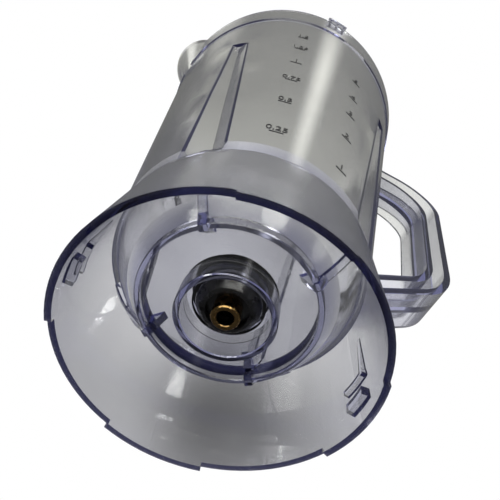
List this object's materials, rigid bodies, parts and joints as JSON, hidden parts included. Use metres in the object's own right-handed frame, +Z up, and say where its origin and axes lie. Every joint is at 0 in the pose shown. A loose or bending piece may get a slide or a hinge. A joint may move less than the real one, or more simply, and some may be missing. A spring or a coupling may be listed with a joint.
{
  "type": "blender jar",
  "caption": "Clear tapered blender jar with pour spout, D handle and flared base skirt, and a brass shaft bush held in its floor by a black housing and nut.",
  "frame": {"origin": "centre of the circle that the four feet of the base skirt stand on", "axes": "+Z up along the jar's axis, +X towards the handle, -X towards the spout, -Y towards the side with the measuring scale"},
  "size_m": [0.1899, 0.148, 0.243],
  "materials": {
    "clear_plastic": "clear, polished, slightly smoky",
    "black_plastic": "moulded gloss",
    "black_rubber": "matt",
    "brass": "turned, slightly tarnished"
  },
  "bodies": {
    "root": {"jar_body": "clear_plastic", "bush_housing": "black_plastic", "housing_seal": "black_rubber", "retaining_nut": "black_plastic", "bearing_bush": "brass"}
  },
  "joints": []
}
